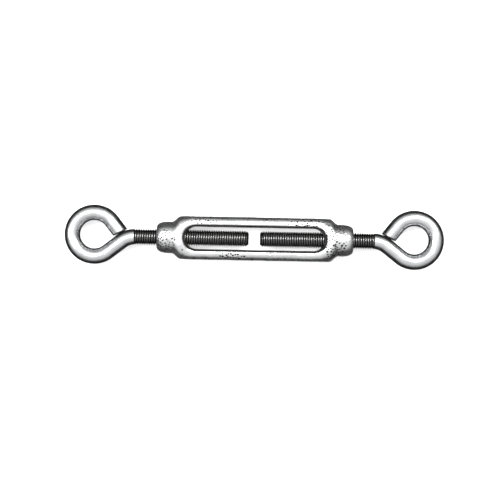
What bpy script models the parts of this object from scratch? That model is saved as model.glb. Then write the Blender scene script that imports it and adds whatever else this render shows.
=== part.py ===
"""Eye and eye rigging turnbuckle, M10 size: a cast open body and two bent eye bolts, one left-hand threaded.

Frame: +X runs along the screws towards the right-hand-threaded bolt, +Z is square to the flat of the eyes,
and the origin is the middle of the body on the screws' common axis. Lengths below are in millimetres.
"""

import math

import bmesh
import bpy
from mathutils import Vector

MM = 0.001

# Screw threads, M10 coarse
PITCH = 1.5
THREAD_RADIUS = 5.0
ROOT_RADIUS = 4.1
ROD_FLANK = 5 / 12  # share of the pitch from a root to its crest's near edge
TAP_FLANK = 4.5 / 12
SIDES = 12  # facets round a screw and its rod
RUN_OUT = 1.5  # length over which a thread fades in or out

# Cast body
BODY_LENGTH = 125.0
HUB_RADIUS = 10.0
HUB_END_RADIUS = 6.8  # flat end face, where the hub's dome stops
DOME_LENGTH = 6.2
SHOULDER_START = 53.0  # from the body's middle
SHOULDER_LENGTH = 5.6
RAIL_HALF_WIDTH = 13.75
RAIL_HALF_HEIGHT = 7.5
RAIL_CORNER = 3.5
HEIGHT_BLEND_START = 50.0
HEIGHT_BLEND_LENGTH = 10.0
HUB_FLAT = 1.0  # half width of the as-cast flat along each side of a hub
CORNER_STEPS = 6
SHOULDER_STEPS = 6
HEIGHT_BLEND_STEPS = 6
DOME_STEPS = 5

# Window through the body
WINDOW_HALF_LENGTH = 45.0
WINDOW_HALF_WIDTH = 7.6
WINDOW_CHAMFER = 0.9
WINDOW_END_STEPS = 10

# Tapped holes, which clear the screws
TAP_INNER_RADIUS = 4.35
TAP_OUTER_RADIUS = 5.2
COUNTERSINK_RADIUS = 5.9

# Eye bolts
POINT_LENGTH = 1.6
POINT_CHAMFER = 0.8
POINT_GAP = 0.1
BOLT_REACH = 98.5  # from the screw's point to the middle of the eye
EYE_RADIUS = 14.0  # to the rod's centre line
EYE_RISE = 1.1  # how far the eye's middle stands off the screw's axis
SHANK_SLOPE = math.radians(38.0)
SHANK_BEND_RADIUS = 14.0
THREAD_END = 72.0
TAIL_GAP = 0.2  # between the eye's cut end and the line of the sloping shank
CUT_LEAN = 0.17  # how far the cut leans for each millimetre across, so that it lies along the shank's bend
CUT_CHAMFER = 0.5
EYE_STEPS = 24
BEND_STEPS = 5

# Where each screw's point stands, from the body's middle
RIGHT_POINT_X = 3.2
LEFT_POINT_X = 4.0

# Meshes
WELD = 0.0001
SHARP_ANGLE = math.radians(35.0)  # edges sharper than this stay hard


def clear_scene():
    for old in list(bpy.data.objects):
        bpy.data.objects.remove(old, do_unlink=True)


def new_collection(name):
    collection = bpy.data.collections.new(name)
    bpy.context.scene.collection.children.link(collection)
    return collection


def metal(name, colour, roughness):
    """A Principled metal of one colour."""
    made = bpy.data.materials.new(name)
    made.use_nodes = True
    shader = made.node_tree.nodes["Principled BSDF"]
    shader.inputs["Base Color"].default_value = (*colour, 1.0)
    shader.inputs["Roughness"].default_value = roughness
    shader.inputs["Metallic"].default_value = 1.0
    return made


def smoothstep(t):
    t = min(1.0, max(0.0, t))
    return t * t * (3.0 - 2.0 * t)


def object_from(name, bm, collection, material=None):
    """Closes the bmesh, turns its faces outwards and links it as an object. Its points are in millimetres."""
    bmesh.ops.remove_doubles(bm, verts=bm.verts, dist=WELD)
    bmesh.ops.holes_fill(bm, edges=bm.edges, sides=0)
    bmesh.ops.recalc_face_normals(bm, faces=bm.faces)
    bmesh.ops.scale(bm, vec=(MM, MM, MM), verts=bm.verts)
    mesh = bpy.data.meshes.new(name)
    bm.to_mesh(mesh)
    bm.free()
    mesh.shade_smooth()
    mesh.set_sharp_from_angle(angle=SHARP_ANGLE)
    obj = bpy.data.objects.new(name, mesh)
    collection.objects.link(obj)
    if material:
        mesh.materials.append(material)
    return obj


def add_rings(bm, rings, start=None):
    """Skins a row of rings that have the same number of points. start is a ring of vertices to go on from."""
    last = start
    for ring in rings:
        now = [bm.verts.new(point) for point in ring]
        if last:
            for k, vert in enumerate(last):
                after = (k + 1) % len(last)
                bm.faces.new((vert, last[after], now[after], now[k]))
        last = now
    return last


def round_ring(centre, across, radius):
    """A circle of SIDES points about centre, in the plane of +Z and the unit vector across."""
    return [
        centre
        + radius * math.cos(2 * math.pi * k / SIDES) * across
        + Vector((0, 0, radius * math.sin(2 * math.pi * k / SIDES)))
        for k in range(SIDES)
    ]


def add_thread(bm, start, end, phase, root, crest, flank):
    """The surface of a right-hand screw along +X from start to end, and its last ring of vertices.

    phase is the X of a root where the thread crosses +Y, and flank is the share of the pitch from a root to
    the crest's near edge. The rows follow the helix. Beyond the two ends they are held at the ends, where the
    thread has faded to root and to crest, so the ends are flat rings once doubles are merged.
    """
    shares = (0.0, flank, 1.0 - flank)
    first_turn = math.floor((start - phase) / PITCH) - 1
    turns = math.ceil((end - start) / PITCH) + 3
    rows = turns * len(shares)

    def vertex(row, side):
        turn, part = divmod(row, len(shares))
        x = phase + PITCH * (first_turn + turn + shares[part] + side / SIDES)
        x = min(end, max(start, x))
        radius = root if part == 0 else crest
        radius = root + (radius - root) * smoothstep((x - start) / RUN_OUT)
        radius = crest - (crest - radius) * smoothstep((end - x) / RUN_OUT)
        angle = 2 * math.pi * side / SIDES
        return bm.verts.new((x, radius * math.cos(angle), radius * math.sin(angle)))

    columns = [[vertex(row, side) for row in range(rows)] for side in range(SIDES)]
    # One turn on, the first column is the last column's neighbour.
    columns.append(columns[0][len(shares):])
    for near, far in zip(columns, columns[1:]):
        for row in range(len(far) - 1):
            bm.faces.new((near[row], near[row + 1], far[row + 1], far[row]))
    return [column[rows - len(shares) - 1] for column in columns[:SIDES]]


def mirrored(bm, side):
    """Turns right-hand work into left-hand work: side is 1 for the right and -1 for the left."""
    if side < 0:
        bmesh.ops.scale(bm, vec=(-1, 1, 1), verts=bm.verts)


def arc(middle, radius, begin, sweep, steps):
    """Points along an arc in the XY plane, without its first point."""
    angles = [begin + sweep * k / steps for k in range(1, steps + 1)]
    return [middle + radius * Vector((math.cos(angle), math.sin(angle), 0)) for angle in angles]


def rod_route():
    """The rod's centre line past the thread: bend, slope, round the eye, and a straight tail to the cut."""
    eye = Vector((BOLT_REACH, EYE_RISE, 0))
    along = Vector((math.cos(SHANK_SLOPE), -math.sin(SHANK_SLOPE), 0))
    across = Vector((math.sin(SHANK_SLOPE), math.cos(SHANK_SLOPE), 0))
    touch = eye - EYE_RADIUS * across  # where the sloping shank runs into the eye
    corner_x = touch.x + touch.y / math.tan(SHANK_SLOPE)  # where the slope's line crosses the screw's axis
    bend_start = corner_x - SHANK_BEND_RADIUS * math.tan(SHANK_SLOPE / 2)
    bend_middle = Vector((bend_start, -SHANK_BEND_RADIUS, 0))
    around = math.atan2(-across.y, -across.x)
    route = [Vector((THREAD_END, 0, 0)), Vector((bend_start, 0, 0))]
    route += arc(bend_middle, SHANK_BEND_RADIUS, math.pi / 2, -SHANK_SLOPE, BEND_STEPS)
    route.append(touch)
    route += arc(eye, EYE_RADIUS, around, 1.5 * math.pi, EYE_STEPS)
    tail_start = route[-1]
    tail_length = EYE_RADIUS - THREAD_RADIUS - TAIL_GAP
    route.append(tail_start - across * (tail_length - CUT_CHAMFER))
    route.append(tail_start - across * tail_length)
    return route


def lean_cut(mesh, route):
    """Leans the cut end, which is the tube's last two rings."""
    end = route[-1]
    heading = (end - route[-2]).normalized()
    inward = Vector((-heading.y, heading.x, 0))
    for vertex in list(mesh.vertices)[-2 * SIDES:]:
        vertex.co -= CUT_LEAN * (vertex.co - end).dot(inward) * heading


def rod_mesh():
    """The rod past the thread as an open tube, narrowed at its last point by the cut end's chamfer."""
    route = rod_route()
    curve = bpy.data.curves.new("rod", "CURVE")
    curve.dimensions = "3D"
    curve.twist_mode = "Z_UP"
    curve.bevel_depth = THREAD_RADIUS
    curve.bevel_resolution = SIDES // 2 - 2
    spline = curve.splines.new("POLY")
    spline.points.add(len(route) - 1)
    for point, centre in zip(spline.points, route):
        point.co = (*centre, 1.0)
    spline.points[-1].radius = 1 - CUT_CHAMFER / THREAD_RADIUS
    holder = bpy.data.objects.new("rod", curve)
    mesh = bpy.data.meshes.new_from_object(holder)
    lean_cut(mesh, route)
    bpy.data.objects.remove(holder)
    bpy.data.curves.remove(curve)
    return mesh


def eye_bolt(name, side, point_x, collection, material):
    """A rod with a rolled thread, bent into an eye whose cut end comes back to the shank.

    The thread's last ring and the tube's first ring coincide, so welding them makes one skin.
    """
    bm = bmesh.new()
    start = POINT_LENGTH + POINT_GAP
    add_thread(bm, start, THREAD_END, start, ROOT_RADIUS, THREAD_RADIUS, ROD_FLANK)
    rod = rod_mesh()
    bm.from_mesh(rod)
    bpy.data.meshes.remove(rod)
    mirrored(bm, side)
    bolt = object_from(name, bm, collection, material)
    bolt.location.x = side * point_x * MM
    return bolt


def screw_point(name, side, point_x, collection, material):
    """The plain end of a screw, chamfered: a profile turned about the screw's axis."""
    profile = (
        (0.0, 0.0),
        (0.0, ROOT_RADIUS - POINT_CHAMFER),
        (POINT_CHAMFER, ROOT_RADIUS),
        (POINT_LENGTH, ROOT_RADIUS),
        (POINT_LENGTH, 0.0),
    )
    mesh = bpy.data.meshes.new(name)
    edges = [(k, k + 1) for k in range(len(profile) - 1)]
    mesh.from_pydata([(side * x * MM, radius * MM, 0) for x, radius in profile], edges, [])
    mesh.materials.append(material)
    point = bpy.data.objects.new(name, mesh)
    point.location.x = side * point_x * MM
    collection.objects.link(point)
    turn = point.modifiers.new("turn", "SCREW")
    turn.axis = "X"
    turn.steps = SIDES
    turn.render_steps = SIDES
    turn.use_merge_vertices = True
    turn.merge_threshold = 0.001 * MM
    turn.use_normal_flip = side > 0
    return point


def casting_section(x):
    """The body's outline across X: a rounded rectangle of 4 corner arcs."""
    from_middle = abs(x)
    dome = max(0.0, from_middle - (BODY_LENGTH / 2 - DOME_LENGTH)) / DOME_LENGTH
    round_over = HUB_RADIUS - HUB_END_RADIUS
    hub = HUB_END_RADIUS + round_over * math.sqrt(max(0.0, 1.0 - dome * dome))
    widen = smoothstep((SHOULDER_START - from_middle) / SHOULDER_LENGTH)
    flatten = smoothstep((HEIGHT_BLEND_START - from_middle) / HEIGHT_BLEND_LENGTH)
    half_width = hub + (RAIL_HALF_WIDTH - HUB_RADIUS) * widen
    half_height = hub + (RAIL_HALF_HEIGHT - HUB_RADIUS) * flatten
    corner = (hub - HUB_FLAT) * (1 - flatten) + RAIL_CORNER * flatten
    points = []
    for quarter in range(4):
        middle_y = (half_width - corner) * (1 if quarter in (0, 3) else -1)
        middle_z = (half_height - corner) * (1 if quarter in (0, 1) else -1)
        for k in range(CORNER_STEPS + 1):
            angle = math.pi / 2 * (quarter + k / CORNER_STEPS)
            y = middle_y + corner * math.cos(angle)
            z = middle_z + corner * math.sin(angle)
            points.append((x, y, z))
    return points


def casting_stations():
    """Where the body's outline changes, from the middle to one end."""
    blend_end = HEIGHT_BLEND_START - HEIGHT_BLEND_LENGTH
    blend = [blend_end + HEIGHT_BLEND_LENGTH * k / HEIGHT_BLEND_STEPS for k in range(HEIGHT_BLEND_STEPS)]
    shoulder_end = SHOULDER_START - SHOULDER_LENGTH
    shoulder = [shoulder_end + SHOULDER_LENGTH * k / SHOULDER_STEPS for k in range(SHOULDER_STEPS + 1)]
    dome_start = BODY_LENGTH / 2 - DOME_LENGTH
    turns = [math.pi / 2 * k / DOME_STEPS for k in range(DOME_STEPS + 1)]
    dome = [dome_start + DOME_LENGTH * math.sin(turn) for turn in turns]
    return sorted(set(round(x, 3) for x in blend + shoulder + dome))


def stadium(z, grow):
    """The window's outline at height z, grown by grow: straight sides and half-round ends."""
    radius = WINDOW_HALF_WIDTH + grow
    reach = WINDOW_HALF_LENGTH - WINDOW_HALF_WIDTH
    points = []
    for side in (1, -1):
        for k in range(WINDOW_END_STEPS + 1):
            angle = -math.pi / 2 + math.pi * k / WINDOW_END_STEPS
            points.append((side * (reach + radius * math.cos(angle)), side * radius * math.sin(angle), z))
    return points


def window_cutter(collection):
    """The window with its edges flared to a chamfer, as a solid to cut away."""
    edge = RAIL_HALF_HEIGHT - WINDOW_CHAMFER
    flare = 1.7 * WINDOW_CHAMFER  # past the rails' faces
    clear = 1.3 * HUB_RADIUS  # above the whole body
    levels = ((edge, 0.0), (edge + flare, flare), (clear, flare))
    rings = [stadium(-z, grow) for z, grow in reversed(levels)]
    rings += [stadium(z, grow) for z, grow in levels]
    bm = bmesh.new()
    add_rings(bm, rings)
    return object_from("window_cutter", bm, collection)


def tap_cutter(name, side, point_x, collection):
    """A screw shape with clearance, in step with the bolt's thread, with a countersink at the hub's end."""
    end = BODY_LENGTH / 2
    phase = point_x + POINT_LENGTH + POINT_GAP
    start = WINDOW_HALF_LENGTH - WINDOW_HALF_WIDTH
    sink = COUNTERSINK_RADIUS - TAP_OUTER_RADIUS
    past = 0.5
    bm = bmesh.new()
    last = add_thread(bm, start, end - sink, phase, TAP_INNER_RADIUS, TAP_OUTER_RADIUS, TAP_FLANK)
    mouth = round_ring(Vector((end + past, 0, 0)), Vector((0, 1, 0)), COUNTERSINK_RADIUS + past)
    add_rings(bm, [mouth], last)
    mirrored(bm, side)
    return object_from(name, bm, collection)


def cast_body(collection, cutters, material):
    """The open body: two tapped hubs joined by two rails."""
    half = casting_stations()
    stations = [-x for x in reversed(half)] + half
    bm = bmesh.new()
    add_rings(bm, [casting_section(x) for x in stations])
    body = object_from("turnbuckle_body", bm, collection, material)
    tools = [
        window_cutter(cutters),
        tap_cutter("right_tap_cutter", 1, RIGHT_POINT_X, cutters),
        tap_cutter("left_tap_cutter", -1, LEFT_POINT_X, cutters),
    ]
    for tool in tools:
        tool.hide_render = True
        tool.display_type = "WIRE"
        cut = body.modifiers.new(tool.name, "BOOLEAN")
        cut.operation = "DIFFERENCE"
        cut.object = tool
    return body


def build():
    clear_scene()
    parts = new_collection("rigging_turnbuckle")
    cutters = new_collection("cutters")
    zinc_casting = metal("galvanised_casting", (0.70, 0.71, 0.72), 0.55)
    plated_rod = metal("plated_rod", (0.74, 0.75, 0.76), 0.25)
    cast_body(parts, cutters, zinc_casting)
    for hand, side, point_x in (("right", 1, RIGHT_POINT_X), ("left", -1, LEFT_POINT_X)):
        screw_point(f"{hand}_screw_point", side, point_x, parts, plated_rod)
        eye_bolt(f"{hand}_eye_bolt", side, point_x, parts, plated_rod)


build()
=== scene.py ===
"""The looks of a rigging turnbuckle: two bent eye bolts with rolled threads, screwed into a cast iron body.

Shapes are worked out in millimetres and turned into metres when their objects are made. The row frame has +X
along the screws towards the right-hand-threaded bolt and +Z square to the flat of the eyes.
"""

import math

import bpy
import numpy as np
from mathutils import Matrix, Vector, noise
from mathutils.kdtree import KDTree


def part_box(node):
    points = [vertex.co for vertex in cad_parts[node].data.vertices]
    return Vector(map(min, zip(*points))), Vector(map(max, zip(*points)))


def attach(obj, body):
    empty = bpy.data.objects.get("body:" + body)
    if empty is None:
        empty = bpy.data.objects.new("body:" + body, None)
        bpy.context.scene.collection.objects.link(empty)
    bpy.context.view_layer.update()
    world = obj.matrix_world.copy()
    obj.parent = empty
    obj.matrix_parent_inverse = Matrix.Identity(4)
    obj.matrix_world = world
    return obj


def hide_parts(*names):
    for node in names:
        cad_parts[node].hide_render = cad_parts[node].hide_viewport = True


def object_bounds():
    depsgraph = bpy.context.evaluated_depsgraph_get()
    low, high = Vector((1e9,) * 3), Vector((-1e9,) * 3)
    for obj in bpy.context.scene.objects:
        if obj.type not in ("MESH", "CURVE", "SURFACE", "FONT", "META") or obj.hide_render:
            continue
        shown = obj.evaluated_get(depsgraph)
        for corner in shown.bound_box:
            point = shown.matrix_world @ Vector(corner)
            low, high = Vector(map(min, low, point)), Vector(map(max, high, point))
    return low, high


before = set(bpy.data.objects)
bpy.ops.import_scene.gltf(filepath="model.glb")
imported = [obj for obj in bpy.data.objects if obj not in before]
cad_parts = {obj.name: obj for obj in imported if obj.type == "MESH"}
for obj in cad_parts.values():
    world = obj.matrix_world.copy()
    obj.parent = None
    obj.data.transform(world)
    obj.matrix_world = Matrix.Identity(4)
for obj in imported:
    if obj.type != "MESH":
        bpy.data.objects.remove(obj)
cad_low, cad_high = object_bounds()

MM = 0.001

# Camera: straight above the object, looking down
PICTURE_WIDTH = 319.0  # what the picture takes in at the height of the screws
LENS = 100.0
SENSOR = 36.0
CAMERA_TURN = math.radians(1.1)
AIM = (-3.0, -7.1)
NEAR_AND_FAR = (0.01, 20.0)  # in metres

# Light. The dome is (sine of the height above the horizon, brightness), upwards from straight down.
DOME_LEVELS = (
    (-1.0, 0.35),
    (-0.8, 0.05),
    (-0.6, 0.015),
    (0.24, 0.015),
    (0.34, 0.55),
    (0.65, 0.7),
    (0.8, 1.0),
)

KEY_PLACE = (-0.1, 0.33, 1.15)  # in metres, as is its size
KEY_SIZE = (2.4, 0.2)
KEY_WATTS = 36.0

# Floor
FLOOR_HALF_WIDTH = 3.0  # in metres
FLOOR_GLOW = 0.55
FLOOR_ROUGHNESS = 0.9

# Rolled threads, M10 coarse
PITCH = 1.5
THREAD_DEPTH = 0.86
CREST_SHARE = 0.28  # of the pitch
ROOT_SHARE = 0.10
ROWS_PER_TURN = 12
SIDES = 72
ROD_SHARP_ANGLE = 50.0
POINT_BEVEL = 1.4
THREAD_END = 73.4  # from the screw's point
THREAD_FADE = 1.2
THREAD_PHASE = 1.7  # from the screw's point to a root on the +Y side
FACE_SHARES = (0.05, 0.35, 0.7, 0.93)  # rows across the point's face, as shares of its radius
FACE_ROUND = (0.08, 0.02)  # how far the face's edge steps along and out

# Rod past the thread
BEND_RADIUS = 14.0
SLOPE = math.radians(38.0)
ROW_GAP = 0.9
CUT_GAP = -0.1  # from the cut end to the line of the sloping shank, which bends away
CUT_ROUND = 0.5
CUT_STEPS = 5
CUT_SHARES = (0.6, 0.05)  # rows across the cut face, as shares of its radius
CUT_LEAN = 0.17  # how far the cut leans for each millimetre across, to lie along the shank's bend
DIRT_AND_SHADE_ON_TAIL = (1.1, 0.3)  # from the cut end: where the dirt and painted shade begin, and where they are thick
# Dirt and painted shade on the shank next to the cut end: where they begin, and where they are thick
DIRT_AND_SHADE_ON_SHANK = (1.5, 0.6)

# Casting
WINDOW_HALF_LENGTH = 44.4
WINDOW_HALF_WIDTH = 7.2
WINDOW_REACH = WINDOW_HALF_LENGTH - WINDOW_HALF_WIDTH  # to the middle of its round end
WINDOW_FLARE = 1.3  # how much wider its mouths are
FLARE_START = 5.8  # half height of the straight part between the mouths
RAIL_HALF_HEIGHT = 7.5
RAIL_CORNER = 4.4
HUB_END_RADIUS = 6.9
DOME_LENGTH = 6.0
SHOULDER = (47.4, 53.0)  # where the rails spread, from the middle
HEIGHT_BLEND = (40.0, 50.0)  # where the rails' height meets the hub's
HUB_ROUNDNESS = 0.995  # corner radius of a hub's section, as a share of its radius
CORNER_POINTS = 12
WINDOW_END_POINTS = 25
TOOL_HALF_HEIGHT = 14.0  # clear of the casting
CASTING_SHARP_ANGLE = 40.0
VOXEL = 0.4  # mesh size of the softened casting
SMOOTHINGS = 11
TAP_PLAY = 0.2  # radial clearance of a tapped hole over its screw
TAP_THREAD_DEPTH = THREAD_DEPTH - 0.05
COUNTERSINK = 0.8
CAST_OVERSHOOT = 0.6  # cut off again when the ends are faced
TRIM_LENGTH = 5.0
TRIM_HALF_WIDTH = 12.0
RAIL_STATIONS = (1, 38, 8)  # first, last and how many
HUB_STATIONS_START = 39
HUB_STATIONS = 70

# The casting's skin
SWELL_HEIGHT = 0.10
SWELL_FINENESS = 0.11  # per millimetre
LUMP_HEIGHT = 0.045
LUMP_FINENESS = 0.55
LUMP_START = 40  # so that the lumps don't follow the swellings
PARTING_HEIGHT = 0.30
PARTING_HALF_WIDTH = 0.45
PARTING_TILT = (1.2, 1.6)  # strength on upright faces, then held to 1, and how fast it falls as they tilt
PARTING_WAVES = (0.15, 0.05)  # fineness of its unevenness per millimetre, in x and y
PARTING_START = 7

# Casting pits
PIT_DEPTH = 0.25
PIT_RADII = (0.58, 1.02)  # along a pit
PIT_NARROWNESS = (0.6, 0.95)  # across a pit, as a share of along it
PIT_FULLNESS = (0.6, 1.0)  # share of the full depth
PIT_SPACING = 1.35
PITS_IN_PATCH = 1.0  # tries per square millimetre
PITS_ELSEWHERE = 0.008
PIT_SEED = 4
PATCH_EDGE = (1.05, 0.35)  # where a patch ends, and how softly, as shares of its reach
PIT_PATCHES = (  # (middle, reach) in x and y
    ((-56.0, -2.0), (7.0, 7.0)),
    ((50.0, -1.0), (8.5, 11.5)),
    ((34.0, 10.2), (14.0, 2.5)),
    ((-33.0, 10.6), (9.0, 1.8)),
    ((-15.0, -11.0), (9.0, 2.0)),
)

# Colours
FLOOR_COLOURS = ((0.82, 0.82, 0.82), (0.85, 0.85, 0.85))
PLATING_COLOURS = ((0.60, 0.61, 0.62), (0.76, 0.765, 0.77))
DULL_PLATING = (0.40, 0.41, 0.42)
ROLLED_STEEL = (0.11, 0.109, 0.107)
# Near-black of the dirt and painted shade in the thread and at the cut end
ROD_DIRT_AND_SHADE = (0.02, 0.019, 0.018)
ZINC_COLOURS = ((0.56, 0.565, 0.57), (0.70, 0.705, 0.71))
ZINC_SPANGLE = (0.74, 0.745, 0.75)
# Near-black painted shade in the casting's pits
PIT_SHADE = (0.02, 0.02, 0.02)
# Grime and painted shade on the window's mouths
GRIME_AND_SHADE = (0.05, 0.048, 0.045)
BARE_IRON = (0.34, 0.335, 0.33)
TONE_STOPS = (0.3, 0.7)  # a cloud pattern's values that are all one colour, and all the other

# Patterns: (fineness per millimetre, detail, roughness)
FLOOR_GRAIN = (0.05, 3)
ROD_CLOUD = (0.16, 4, 0.6)
ROD_LINES = (1.0, 3, 0.6)
ROD_LINES_STRETCH = (0.06, 3.0, 3.0)  # in x, y and z, so that they run along the rod
ROD_DENTS = (1.1, 2)
ZINC_MOTTLE = (0.22, 5, 0.6)
ZINC_GRAIN = (1.6, 4, 0.65)
PIT_RAGGEDNESS = (1.4, 3, 0.7)
SPANGLE_FINENESS = 0.55

# Finishes. A pair without a note is what a pattern's lowest and highest values give.
ROD_ROUGHNESS = (0.12, 0.28)
LINES_ROUGHNESS = (0.0, 0.12)
LINES_DULLNESS = (0.0, 0.5)
LINES_DEPTH = 0.012
DENTS_DEPTH = 0.02
ROLLED_SHARE = 0.9
# How far the rod's dirt and painted shade darken it, and roughen it
ROD_DIRT_AND_SHADE_SHARE = 0.96
ROD_DIRT_AND_SHADE_ROUGHNESS = 0.25
ROOT_DIRT_AND_SHADE_RADII = (4.97, 4.75)  # where dirt and painted shade begin in the thread, and where they are thick
SPANGLE_SHARES = (0.0, 0.25)
ZINC_ROUGHNESS = (0.22, 0.34)
ZINC_METALLIC = (0.96, 0.68)  # as cast, and matt
MATT_ROUGHNESS = 0.14
MATT_HEIGHTS = (4.6, 1.6)  # where the matt side of a rail begins, and where it is full
MATT_WIDTHS = (10.5, 13.0)  # the same, out from the middle
GRAIN_DEPTH = 0.05
PIT_RAGGED = (-0.25, 0.25)
PIT_STOPS = (0.13, 0.44)  # share of the full depth where the painted shade begins, and where it is thick
# How far the painted shade darkens the pits
PIT_SHADE_SHARE = 0.98
PIT_ROUGHNESS = 0.1
# Grime and painted shade on the window's mouths: their strength, edge and fade
GRIME_AND_SHADE_SHARES = (0.7, 1.0)
GRIME_AND_SHADE_EDGE = 0.2
GRIME_AND_SHADE_FADE = 1.0  # how far below a flare it fades out
BARE_RADII = (6.25, 6.05)  # where bare metal begins round a tapped hole, and where it is full
BARE_FROM = (43.0, 43.6)  # the same, along it from the middle
FACED_FROM = (62.38, 62.44)  # the same, for the faced ends


# ---------------------------------------------------------------- camera, light and floor


def add_camera():
    data = bpy.data.cameras.new("camera")
    data.lens = LENS
    data.sensor_width = SENSOR
    data.clip_start, data.clip_end = NEAR_AND_FAR
    camera = bpy.data.objects.new("camera", data)
    camera.location = (AIM[0] * MM, AIM[1] * MM, PICTURE_WIDTH * LENS / SENSOR * MM)
    camera.rotation_euler = (0, 0, CAMERA_TURN)
    bpy.context.scene.collection.objects.link(camera)
    bpy.context.scene.camera = camera


def add_key_light():
    """A long soft strip along the screws, turned towards the origin. It draws the bright line down them."""
    data = bpy.data.lights.new("key", "AREA")
    data.shape = "RECTANGLE"
    data.size, data.size_y = KEY_SIZE
    data.energy = KEY_WATTS
    light = bpy.data.objects.new("key", data)
    light.location = KEY_PLACE
    light.rotation_euler = (-Vector(KEY_PLACE)).to_track_quat("-Z", "Y").to_euler()
    light.visible_camera = False
    bpy.context.scene.collection.objects.link(light)


def add_dome():
    """A pale dome with a dark horizon, which draws dark rims on round metal. The backdrop is white."""
    world = bpy.data.worlds.new("studio")
    bpy.context.scene.world = world
    world.use_nodes = True
    nodes, links = world.node_tree.nodes, world.node_tree.links
    nodes.clear()
    place = nodes.new("ShaderNodeTexCoord")
    split = nodes.new("ShaderNodeSeparateXYZ")
    links.new(place.outputs["Generated"], split.inputs[0])
    height = nodes.new("ShaderNodeMapRange")
    height.inputs["From Min"].default_value = -1
    links.new(split.outputs["Z"], height.inputs["Value"])
    ramp = nodes.new("ShaderNodeValToRGB")
    elements = ramp.color_ramp.elements
    while len(elements) < len(DOME_LEVELS):
        elements.new(0.5)
    for element, (z, level) in zip(elements, DOME_LEVELS):
        element.position = (z + 1) / 2
        element.color = (level, level, level, 1)
    links.new(height.outputs[0], ramp.inputs[0])
    dome = nodes.new("ShaderNodeBackground")
    links.new(ramp.outputs["Color"], dome.inputs["Color"])
    pale = nodes.new("ShaderNodeBackground")
    pale.inputs["Color"].default_value = (1, 1, 1, 1)
    seen = nodes.new("ShaderNodeLightPath")
    mix = nodes.new("ShaderNodeMixShader")
    links.new(seen.outputs["Is Camera Ray"], mix.inputs[0])
    links.new(dome.outputs[0], mix.inputs[1])
    links.new(pale.outputs[0], mix.inputs[2])
    out = nodes.new("ShaderNodeOutputWorld")
    links.new(mix.outputs[0], out.inputs["Surface"])
    bpy.context.scene.view_settings.view_transform = "Standard"


def add_floor(height):
    """A pale floor that glows a little, like a light table. It isn't mirrored in the metal."""
    mesh = bpy.data.meshes.new("floor")
    half = FLOOR_HALF_WIDTH
    corners = [(-half, -half, 0), (half, -half, 0), (half, half, 0), (-half, half, 0)]
    mesh.from_pydata(corners, [], [(0, 1, 2, 3)])
    floor = bpy.data.objects.new("floor", mesh)
    floor.location.z = height
    floor.visible_glossy = False
    bpy.context.scene.collection.objects.link(floor)
    nodes = Nodes("pale_floor")
    grain = nodes.noise(nodes.object_mm(), *FLOOR_GRAIN)
    nodes.feed("Base Color", nodes.two_tone(grain, FLOOR_COLOURS))
    nodes.set("Roughness", FLOOR_ROUGHNESS)
    nodes.set("Emission Color", (1, 1, 1, 1))
    nodes.set("Emission Strength", FLOOR_GLOW)
    mesh.materials.append(nodes.material)


# ---------------------------------------------------------------- material nodes


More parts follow.
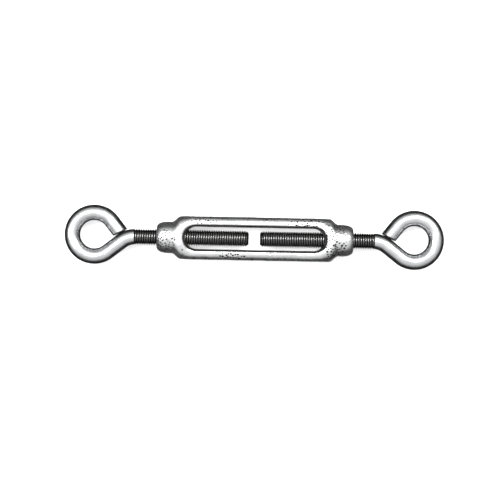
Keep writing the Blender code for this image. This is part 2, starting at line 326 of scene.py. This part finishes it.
class Nodes:
    """A material being built: each method adds a node and returns its output socket."""

    def __init__(self, name):
        self.material = bpy.data.materials.new(name)
        self.material.use_nodes = True
        self.tree = self.material.node_tree
        self.shader = self.tree.nodes["Principled BSDF"]

    def new(self, kind, inputs=(), **settings):
        node = self.tree.nodes.new(kind)
        for key, value in settings.items():
            setattr(node, key, value)
        for key, value in dict(inputs).items():
            if isinstance(value, bpy.types.NodeSocket):
                self.tree.links.new(value, node.inputs[key])
            else:
                node.inputs[key].default_value = value
        return node

    def set(self, socket, value):
        self.shader.inputs[socket].default_value = value

    def feed(self, socket, source):
        self.tree.links.new(source, self.shader.inputs[socket])

    def math(self, operation, a, b=0.0):
        return self.new("ShaderNodeMath", {0: a, 1: b}, operation=operation).outputs[0]

    def attribute(self, name, output):
        return self.new("ShaderNodeAttribute", attribute_name=name).outputs[output]

    def object_mm(self):
        """The place on the piece, in millimetres of the row frame."""
        place = self.new("ShaderNodeTexCoord").outputs["Object"]
        return self.new("ShaderNodeVectorMath", {0: place, "Scale": 1 / MM}, operation="SCALE").outputs[0]

    def split(self, vector):
        return self.new("ShaderNodeSeparateXYZ", {0: vector}).outputs

    def stretched(self, vector, x, y, z):
        return self.new("ShaderNodeVectorMath", {0: vector, 1: (x, y, z)}, operation="MULTIPLY").outputs[0]

    def noise(self, vector, scale, detail, roughness=0.5):
        inputs = {"Vector": vector, "Scale": scale, "Detail": detail, "Roughness": roughness}
        return self.new("ShaderNodeTexNoise", inputs).outputs[0]

    def cells(self, vector, scale):
        """A random share for each cell of a pattern of cells."""
        colour = self.new("ShaderNodeTexVoronoi", {"Vector": vector, "Scale": scale}).outputs["Color"]
        return self.split(colour)[0]

    def length(self, vector):
        return self.new("ShaderNodeVectorMath", {0: vector}, operation="LENGTH").outputs["Value"]

    def off_axis(self, vector):
        """Distance from the screws' axis, which is X."""
        return self.length(self.stretched(vector, 0, 1, 1))

    def fade(self, value, low, high):
        """0 below low, 1 above high, smooth between; low may be the larger."""
        inputs = {"Value": value, "From Min": low, "From Max": high}
        return self.new("ShaderNodeMapRange", inputs, interpolation_type="SMOOTHSTEP").outputs[0]

    def range(self, value, low, high):
        """A value from 0 to 1, brought to low to high."""
        return self.new("ShaderNodeMapRange", {"Value": value, "To Min": low, "To Max": high}).outputs[0]

    def two_tone(self, cloud, colours):
        """A cloud pattern's two colours."""
        node = self.new("ShaderNodeValToRGB", {0: cloud})
        for element, position, colour in zip(node.color_ramp.elements, TONE_STOPS, colours):
            element.position = position
            element.color = (*colour, 1)
        return node.outputs[0]

    def mix(self, share, a, b):
        node = self.new("ShaderNodeMix", {0: share}, data_type="RGBA")
        for socket, value in ((node.inputs[6], a), (node.inputs[7], b)):
            if isinstance(value, bpy.types.NodeSocket):
                self.tree.links.new(value, socket)
            else:
                socket.default_value = (*value, 1)
        return node.outputs[2]

    def bump(self, height, depth_mm, before=None):
        inputs = {"Height": height, "Strength": 1.0, "Distance": depth_mm * MM}
        if before is not None:
            inputs["Normal"] = before
        return self.new("ShaderNodeBump", inputs).outputs[0]


def plated_rod_material():
    """Zinc-plated drawn rod: fine lines along it, cloudy plating, and dirt with painted shade darkening the
    thread's roots and the gap at the cut end.
    """
    nodes = Nodes("plated_rod")
    straight = nodes.attribute("straight", "Vector")
    drawn = nodes.noise(nodes.stretched(straight, *ROD_LINES_STRETCH), *ROD_LINES)
    cloud = nodes.noise(straight, *ROD_CLOUD)
    # The thread's roots and flanks, darkened by dirt and painted shade in the recesses
    root = nodes.fade(nodes.off_axis(straight), *ROOT_DIRT_AND_SHADE_RADII)
    # Dirt and painted shade: in the thread's roots and flanks, and where the cut end meets the shank
    dirt_and_shade = nodes.math("MAXIMUM", root, nodes.attribute("dirt_and_shade", "Fac"))
    threaded = nodes.fade(nodes.split(straight)[0], THREAD_END, THREAD_END - THREAD_FADE)

    plating = nodes.two_tone(cloud, PLATING_COLOURS)
    dull = nodes.mix(nodes.range(drawn, *LINES_DULLNESS), plating, DULL_PLATING)
    rolled = nodes.mix(nodes.math("MULTIPLY", threaded, ROLLED_SHARE), dull, ROLLED_STEEL)
    dirty_and_shaded = nodes.mix(nodes.math("MULTIPLY", dirt_and_shade, ROD_DIRT_AND_SHADE_SHARE), rolled, ROD_DIRT_AND_SHADE)
    nodes.feed("Base Color", dirty_and_shaded)

    rough = nodes.math("ADD", nodes.range(cloud, *ROD_ROUGHNESS), nodes.range(drawn, *LINES_ROUGHNESS))
    nodes.feed("Roughness", nodes.math("ADD", rough, nodes.math("MULTIPLY", dirt_and_shade, ROD_DIRT_AND_SHADE_ROUGHNESS)))
    nodes.set("Metallic", 1.0)
    lines = nodes.bump(drawn, LINES_DEPTH)
    nodes.feed("Normal", nodes.bump(nodes.noise(straight, *ROD_DENTS), DENTS_DEPTH, lines))
    return nodes.material


def pit_share(nodes, place):
    """The casting's pits, with ragged edges."""
    ragged = nodes.range(nodes.noise(place, *PIT_RAGGEDNESS), *PIT_RAGGED)
    return nodes.fade(nodes.math("ADD", nodes.attribute("pit", "Fac"), ragged), *PIT_STOPS)


def grime_and_shade_share(nodes, place, mottle):
    """Grease and dirt from the screws, with painted shade, darkening the window's flared mouths."""
    x, y, z = nodes.split(place)
    past_straight = nodes.math("SUBTRACT", nodes.math("ABSOLUTE", x), WINDOW_REACH)
    past_straight = nodes.math("MAXIMUM", past_straight, 0.0)
    from_slot = nodes.length(nodes.new("ShaderNodeCombineXYZ", {0: past_straight, 1: y}).outputs[0])
    edge = WINDOW_HALF_WIDTH + WINDOW_FLARE
    inside = nodes.fade(from_slot, edge + GRIME_AND_SHADE_EDGE, edge - GRIME_AND_SHADE_EDGE)
    flared = nodes.fade(nodes.math("ABSOLUTE", z), FLARE_START - GRIME_AND_SHADE_FADE, FLARE_START)
    mouth = nodes.math("MULTIPLY", inside, flared)
    return nodes.math("MULTIPLY", mouth, nodes.range(mottle, *GRIME_AND_SHADE_SHARES))


def machined_share(nodes, place):
    """The tapped holes and the faced ends, which are bare metal."""
    from_middle = nodes.math("ABSOLUTE", nodes.split(place)[0])
    round_hole = nodes.fade(nodes.off_axis(place), *BARE_RADII)
    in_hole = nodes.math("MULTIPLY", round_hole, nodes.fade(from_middle, *BARE_FROM))
    return nodes.math("MAXIMUM", in_hole, nodes.fade(from_middle, *FACED_FROM))


def matt_share(nodes, place):
    """The rails' outer sides, which are matt where the mould's halves met."""
    _, y, z = nodes.split(place)
    near_line = nodes.fade(nodes.math("ABSOLUTE", z), *MATT_HEIGHTS)
    return nodes.math("MULTIPLY", near_line, nodes.fade(nodes.math("ABSOLUTE", y), *MATT_WIDTHS))


def casting_material():
    """Galvanised cast iron: mottled, grainy zinc, painted shade in the pits, grime and painted shade on the
    window mouths, and bare machined metal.
    """
    nodes = Nodes("galvanised_casting")
    place = nodes.object_mm()
    mottle = nodes.noise(place, *ZINC_MOTTLE)
    spangle = nodes.range(nodes.cells(place, SPANGLE_FINENESS), *SPANGLE_SHARES)
    pit = pit_share(nodes, place)
    matt = matt_share(nodes, place)

    zinc = nodes.mix(spangle, nodes.two_tone(mottle, ZINC_COLOURS), ZINC_SPANGLE)
    # Painted shade in the pits
    pit_shaded = nodes.mix(nodes.math("MULTIPLY", pit, PIT_SHADE_SHARE), zinc, PIT_SHADE)
    # Grime and painted shade on the window's mouths
    grimy_and_shaded = nodes.mix(grime_and_shade_share(nodes, place, mottle), pit_shaded, GRIME_AND_SHADE)
    nodes.feed("Base Color", nodes.mix(machined_share(nodes, place), grimy_and_shaded, BARE_IRON))

    rough_pit = nodes.math("MULTIPLY", pit, PIT_ROUGHNESS)
    rough = nodes.math("ADD", nodes.range(mottle, *ZINC_ROUGHNESS), rough_pit)
    nodes.feed("Roughness", nodes.math("ADD", rough, nodes.math("MULTIPLY", matt, MATT_ROUGHNESS)))
    nodes.feed("Metallic", nodes.range(matt, *ZINC_METALLIC))
    nodes.feed("Normal", nodes.bump(nodes.noise(place, *ZINC_GRAIN), GRAIN_DEPTH))
    return nodes.material


# ---------------------------------------------------------------- shapes


def smoothstep(t):
    t = np.clip(t, 0.0, 1.0)
    return t * t * (3.0 - 2.0 * t)


def tube_faces(rows, sides):
    """Quads between neighbouring rows of points, and one face over each end."""
    row = np.arange(rows - 1)[:, None] * sides
    here = np.arange(sides)[None, :]
    after = (here + 1) % sides
    quads = np.stack([row + here, row + after, row + sides + after, row + sides + here], axis=-1)
    ends = [list(range(sides))[::-1], list(range((rows - 1) * sides, rows * sides))]
    return quads.reshape(-1, 4).tolist() + ends


def closed_tube(name, points):
    """An object, still in millimetres, from an array of rows x sides x 3. Its faces are turned outwards."""
    rows, sides, _ = points.shape
    mesh = bpy.data.meshes.new(name)
    mesh.from_pydata(points.reshape(-1, 3).tolist(), [], tube_faces(rows, sides))
    if signed_volume(mesh) < 0:
        mesh.flip_normals()
    return bpy.data.objects.new(name, mesh)


def signed_volume(mesh):
    mesh.calc_loop_triangles()
    corners = np.empty(len(mesh.loop_triangles) * 3, np.int32)
    mesh.loop_triangles.foreach_get("vertices", corners)
    co = positions(mesh)[corners].reshape(-1, 3, 3)
    return float(np.einsum("ij,ij->i", co[:, 0], np.cross(co[:, 1], co[:, 2])).sum() / 6)


def positions(mesh):
    co = np.empty(len(mesh.vertices) * 3, np.float32)
    mesh.vertices.foreach_get("co", co)
    return co.reshape(-1, 3).astype(float)


def finish_piece(obj, material, sharp_angle):
    """Turns a piece into metres, gives it its material, shades it and links it. The angle is in degrees."""
    obj.data.transform(Matrix.Scale(MM, 4))
    obj.data.materials.clear()
    obj.data.materials.append(material)
    obj.data.shade_smooth()
    obj.data.set_sharp_from_angle(angle=math.radians(sharp_angle))
    bpy.context.scene.collection.objects.link(obj)


def store(mesh, name, values, kind="FLOAT", field="value"):
    """Keeps a value for each point of the mesh, which a material reads by its name."""
    attribute = mesh.attributes.new(name, kind, "POINT")
    attribute.data.foreach_set(field, values.astype(np.float32).ravel())


def thread_dip(x, angles):
    """How deep the rounded thread profile is below its crest, as 0 to 1, at x past the point."""
    turn = (x - THREAD_PHASE) / PITCH - angles / (2 * math.pi)
    from_crest = np.abs((turn - np.floor(turn)) - 0.5) * 2
    return smoothstep((from_crest - CREST_SHARE) / (1 - CREST_SHARE - ROOT_SHARE))


def rod_place(s, pieces):
    """Place and heading at length s along a flat path of (length, curvature) pieces that starts along +X."""
    x, y, heading = 0.0, 0.0, 0.0
    for length, curvature in pieces:
        step = min(s, length)
        if curvature:
            turned = heading + step * curvature
            x += (math.sin(turned) - math.sin(heading)) / curvature
            y += (math.cos(heading) - math.cos(turned)) / curvature
            heading = turned
        else:
            x += step * math.cos(heading)
            y += step * math.sin(heading)
        s -= step
        if s <= 0:
            break
    return x, y, heading


def rod_pieces(reach, rise, eye_radius, rod_radius):
    """The bolt's centre line from its point: screw, bend, slope, three quarters of a circle, and a tail."""
    touch_x = reach - eye_radius * math.sin(SLOPE)
    touch_y = rise - eye_radius * math.cos(SLOPE)
    corner_x = touch_x + touch_y / math.tan(SLOPE)
    into_bend = BEND_RADIUS * math.tan(SLOPE / 2)
    return [
        (corner_x - into_bend, 0.0),
        (BEND_RADIUS * SLOPE, -1 / BEND_RADIUS),
        (-touch_y / math.sin(SLOPE) - into_bend, 0.0),
        (eye_radius * 1.5 * math.pi, 1 / eye_radius),
        (eye_radius - rod_radius - CUT_GAP, 0.0),
    ]


def bolt_rows(length, rod_radius):
    """(distance along, largest radius) of each row of points, from the middle of the point's face on."""
    face = rod_radius - POINT_BEVEL
    rows = [(0.0, face * share) for share in FACE_SHARES]
    rows.append((FACE_ROUND[0], face + FACE_ROUND[1]))
    step = PITCH / ROWS_PER_TURN
    threaded = np.arange(step, THREAD_END + step / 2, step)
    rows += [(s, face + s) for s in threaded]
    plain_end = length - CUT_ROUND
    count = int((plain_end - THREAD_END) / ROW_GAP)
    rows += [(s, rod_radius) for s in np.linspace(THREAD_END, plain_end, count + 1)[1:]]
    for k in range(1, CUT_STEPS + 1):
        turn = math.pi / 2 * k / CUT_STEPS
        rows.append((plain_end + CUT_ROUND * math.sin(turn), rod_radius - CUT_ROUND * (1 - math.cos(turn))))
    rows += [(length, (rod_radius - CUT_ROUND) * share) for share in CUT_SHARES]
    return rows


def gap_dirt_and_shade(points, to_cut):
    """How dark each point is where the cut end meets the shank, with dirt and painted shade in the gap.
    to_cut is each row's distance from it.
    """
    on_tail = smoothstep((DIRT_AND_SHADE_ON_TAIL[0] - to_cut) / (DIRT_AND_SHADE_ON_TAIL[0] - DIRT_AND_SHADE_ON_TAIL[1]))
    dirt_and_shade = np.repeat(on_tail[:, None], SIDES, axis=1)
    cut_rim = points[to_cut < CUT_ROUND].reshape(-1, 3)
    for row in np.flatnonzero(to_cut > to_cut[0] / 2):
        away = np.linalg.norm(points[row][:, None] - cut_rim[None], axis=-1).min(axis=1)
        dirt_and_shade[row] = smoothstep((DIRT_AND_SHADE_ON_SHANK[0] - away) / (DIRT_AND_SHADE_ON_SHANK[0] - DIRT_AND_SHADE_ON_SHANK[1]))
    return dirt_and_shade


def bolt_skin(rows, pieces, point_x, rod_radius):
    """The skin's points, and the same points on the rod before it is bent, as rows x sides x 3."""
    angles = np.linspace(0, 2 * math.pi, SIDES, endpoint=False)
    tail_start = sum(length for length, _ in pieces[:-1])
    points, straight = [], []
    for s, largest in rows:
        fade = float(smoothstep((THREAD_END - s) / THREAD_FADE))
        radii = np.minimum(rod_radius - THREAD_DEPTH * fade * thread_dip(s, angles), largest)
        across, up = radii * np.cos(angles), radii * np.sin(angles)
        lean = -across * CUT_LEAN * max(0.0, s - tail_start) / pieces[-1][0]
        x, y, heading = rod_place(s, pieces)
        skin_x = point_x + x - across * math.sin(heading) + lean * math.cos(heading)
        skin_y = y + across * math.cos(heading) + lean * math.sin(heading)
        points.append(np.stack([skin_x, skin_y, up], axis=-1))
        straight.append(np.stack([np.full(SIDES, s), across, up], axis=-1))
    return np.array(points), np.array(straight)


def eye_bolt(hand, side, material):
    """One bolt as a single skin, from its chamfered point to its cut end."""
    point_low, point_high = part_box(f"{hand}_screw_point")
    low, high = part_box(f"{hand}_eye_bolt")
    point_x = (point_low.x if side > 0 else -point_high.x) / MM
    far_x = (high.x if side > 0 else -low.x) / MM
    rod_radius = high.z / MM
    outer = (high.y - low.y) / 2 / MM
    rise = (high.y + low.y) / 2 / MM
    pieces = rod_pieces(far_x - outer - point_x, rise, outer - rod_radius, rod_radius)
    rows = bolt_rows(sum(length for length, _ in pieces), rod_radius)
    points, straight = bolt_skin(rows, pieces, point_x, rod_radius)
    points[:, :, 0] *= side
    along_rod = np.array([s for s, _ in rows])
    bolt = closed_tube(f"{hand}_bolt", points)
    store(bolt.data, "straight", straight, "FLOAT_VECTOR", "vector")
    # Dirt and painted shade where the cut end meets the shank
    store(bolt.data, "dirt_and_shade", gap_dirt_and_shade(points, along_rod[-1] - along_rod))
    finish_piece(bolt, material, ROD_SHARP_ANGLE)
    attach(bolt, f"{hand}_bolt")
    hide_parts(f"{hand}_eye_bolt", f"{hand}_screw_point")


def casting_section(x, half_length, hub_radius, half_width):
    """The casting's outline across X, before its window is cut."""
    from_middle = abs(x)
    dome = max(0.0, from_middle - (half_length - DOME_LENGTH)) / DOME_LENGTH
    round_over = hub_radius - HUB_END_RADIUS
    hub = HUB_END_RADIUS + round_over * math.sqrt(max(0.0, 1.0 - min(dome, 1.0) ** 2))
    widen = float(smoothstep((SHOULDER[1] - from_middle) / (SHOULDER[1] - SHOULDER[0])))
    flatten = float(smoothstep((HEIGHT_BLEND[1] - from_middle) / (HEIGHT_BLEND[1] - HEIGHT_BLEND[0])))
    wide = hub + (half_width - hub_radius) * widen
    high = hub + (RAIL_HALF_HEIGHT - hub_radius) * flatten
    corner = hub * HUB_ROUNDNESS * (1 - flatten) + RAIL_CORNER * flatten
    quarter_turn = np.linspace(0, math.pi / 2, CORNER_POINTS)
    outline = []
    for quarter in range(4):
        middle_y = (wide - corner) * (1 if quarter in (0, 3) else -1)
        middle_z = (high - corner) * (1 if quarter in (0, 1) else -1)
        turn = quarter_turn + quarter * math.pi / 2
        y = middle_y + corner * np.cos(turn)
        z = middle_z + corner * np.sin(turn)
        outline.append(np.stack([np.full(CORNER_POINTS, x), y, z], -1))
    return np.concatenate(outline)


def window_tool():
    """The window's shape: straight sides and half-round ends, flared at both mouths."""
    turn = np.linspace(-math.pi / 2, math.pi / 2, WINDOW_END_POINTS)
    half_heights = (FLARE_START, RAIL_HALF_HEIGHT, TOOL_HALF_HEIGHT)
    rings = []
    for z in [-height for height in reversed(half_heights)] + list(half_heights):
        radius = WINDOW_HALF_WIDTH + (WINDOW_FLARE if abs(z) > FLARE_START else 0.0)
        ring = [
            (end * (WINDOW_REACH + radius * math.cos(t)), end * radius * math.sin(t), z)
            for end in (1, -1)
            for t in turn
        ]
        rings.append(ring)
    return closed_tube("window_tool", np.array(rings))


def tap_tool(side, point_x, half_length, rod_radius):
    """A tapped hole's shape, in step with its screw, from the window to past the hub's countersunk end."""
    past = 1.0
    angles = np.linspace(0, 2 * math.pi, SIDES, endpoint=False)
    rings = []
    for x in np.arange(WINDOW_REACH, half_length + past, PITCH / ROWS_PER_TURN):
        radii = rod_radius + TAP_PLAY - TAP_THREAD_DEPTH * thread_dip(x - point_x, angles)
        sink = rod_radius + COUNTERSINK + x - half_length
        radii = np.maximum(radii, sink)
        y, z = radii * np.cos(angles), radii * np.sin(angles)
        rings.append(np.stack([np.full(SIDES, side * x), y, z], -1))
    return closed_tube("tap_tool", np.array(rings))


def cut(obj, tools):
    """Cuts the tools out of obj, whose mesh is a new one then, and removes them."""
    for one in [obj, *tools]:
        bpy.context.scene.collection.objects.link(one)
    for tool in tools:
        modifier = obj.modifiers.new("cut", "BOOLEAN")
        modifier.solver = "MANIFOLD"
        modifier.operation = "DIFFERENCE"
        modifier.object = tool
    apply_modifiers(obj)
    bpy.context.scene.collection.objects.unlink(obj)
    for tool in tools:
        bpy.data.objects.remove(tool)


def apply_modifiers(obj):
    """Gives obj, which is in the scene, the mesh that its modifiers make, and no modifiers."""
    bpy.context.view_layer.update()
    mesh = bpy.data.meshes.new_from_object(obj.evaluated_get(bpy.context.evaluated_depsgraph_get()))
    obj.modifiers.clear()
    obj.data = mesh


def soften(obj):
    """Rounds every edge as a casting's are, by remeshing finely and smoothing."""
    bpy.context.scene.collection.objects.link(obj)
    remesh = obj.modifiers.new("remesh", "REMESH")
    remesh.mode = "VOXEL"
    remesh.voxel_size = VOXEL
    smooth = obj.modifiers.new("smooth", "SMOOTH")
    smooth.iterations = SMOOTHINGS
    apply_modifiers(obj)
    bpy.context.scene.collection.objects.unlink(obj)


def choose_pits(co):
    """(middle, way it runs, long and short radius, fullness) of each pit. Most are in the patches."""
    chance = np.random.default_rng(PIT_SEED)
    patch = np.zeros(len(co))
    for middle, reach in PIT_PATCHES:
        away = np.hypot(*((co[:, :2] - middle) / reach).T)
        patch = np.maximum(patch, smoothstep((PATCH_EDGE[0] - away) / PATCH_EDGE[1]))
    wanted = VOXEL**2 * (PITS_IN_PATCH * patch + PITS_ELSEWHERE)
    pits = []
    for place in chance.permutation(co[chance.random(len(co)) < wanted]):
        if all(np.linalg.norm(place - other[0]) > PIT_SPACING for other in pits):
            way = chance.normal(size=3)
            radius = chance.uniform(*PIT_RADII)
            narrow = radius * chance.uniform(*PIT_NARROWNESS)
            pits.append((place, way / np.linalg.norm(way), radius, narrow, chance.uniform(*PIT_FULLNESS)))
    return pits


def pit_depths(co):
    """How deep in a pit each point of the skin is, as 0 to 1."""
    tree = KDTree(len(co))
    for index, point in enumerate(co):
        tree.insert(point, index)
    tree.balance()
    depths = np.zeros(len(co))
    for middle, way, radius, narrow, fullness in choose_pits(co):
        for _, index, away in tree.find_range(middle, radius):
            along = (co[index] - middle) @ way
            outward = (along / radius) ** 2 + (away**2 - along**2) / narrow**2
            depths[index] = max(depths[index], fullness * (1 - outward))
    return depths


def waves(co, fineness, start):
    """A smooth random height at each point, about -1 to 1."""
    shift = Vector((start, 0, 0))
    return np.array([noise.noise(Vector(point) * fineness + shift) for point in co])


def parting_ridge(co, normals):
    """The uneven ridge where the mould's halves met, 0 to 1, on faces that don't look up or down."""
    ridge = np.exp(-((co[:, 2] / PARTING_HALF_WIDTH) ** 2))
    sideways = np.clip(PARTING_TILT[0] - PARTING_TILT[1] * np.abs(normals[:, 2]), 0, 1)
    fine_x, fine_y = PARTING_WAVES
    places = [Vector((x * fine_x, y * fine_y, PARTING_START)) for x, y, _ in co]
    uneven = np.array([0.5 + 0.5 * noise.noise(place) for place in places])
    return ridge * sideways * uneven


def roughen(mesh):
    """Gives the casting its uneven skin, its pits and its parting line."""
    co = positions(mesh)
    pits = pit_depths(co)
    normals = np.empty(len(mesh.vertices) * 3, np.float32)
    mesh.vertex_normals.foreach_get("vector", normals)
    normals = normals.reshape(-1, 3)
    lift = SWELL_HEIGHT * waves(co, SWELL_FINENESS, 0)
    lift += LUMP_HEIGHT * waves(co, LUMP_FINENESS, LUMP_START)
    lift += PARTING_HEIGHT * parting_ridge(co, normals) - PIT_DEPTH * pits
    moved = co + normals * lift[:, None]
    mesh.vertices.foreach_set("co", moved.astype(np.float32).ravel())
    store(mesh, "pit", pits)
    mesh.update()


def end_trim(side, half_length):
    """A block past one hub's end, to face it."""
    half = TRIM_HALF_WIDTH
    square = ((-half, -half), (half, -half), (half, half), (-half, half))
    rings = [[(side * x, y, z) for y, z in square] for x in (half_length, half_length + TRIM_LENGTH)]
    return closed_tube("end_trim", np.array(rings, float))


def casting_stations(half_length):
    """Where the casting's outlines stand: wide apart on the straight rails, and close from there on."""
    rails = np.linspace(*RAIL_STATIONS)
    hub = np.linspace(HUB_STATIONS_START, half_length + CAST_OVERSHOOT, HUB_STATIONS)
    half = np.concatenate([rails, hub])
    return np.concatenate([-half[::-1], half])


def cast_body(material):
    """The body: cast with its window, softened and roughened, then faced and tapped."""
    half_length, half_width, hub_radius = (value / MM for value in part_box("turnbuckle_body")[1])
    rod_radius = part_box("right_eye_bolt")[1].z / MM
    stations = casting_stations(half_length)
    sections = [casting_section(x, half_length, hub_radius, half_width) for x in stations]
    body = closed_tube("cast_body", np.array(sections))
    cut(body, [window_tool()])
    soften(body)
    roughen(body.data)
    points_x = {1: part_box("right_screw_point")[0].x / MM, -1: -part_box("left_screw_point")[1].x / MM}
    tools = [end_trim(side, half_length) for side in (1, -1)]
    tools += [tap_tool(side, points_x[side], half_length, rod_radius) for side in (1, -1)]
    cut(body, tools)
    finish_piece(body, material, CASTING_SHARP_ANGLE)
    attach(body, "body")
    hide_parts("turnbuckle_body")


# ---------------------------------------------------------------- the scene

add_camera()
add_dome()
add_key_light()
rod = plated_rod_material()
eye_bolt("right", 1, rod)
eye_bolt("left", -1, rod)
cast_body(casting_material())
add_floor(cad_low.z)
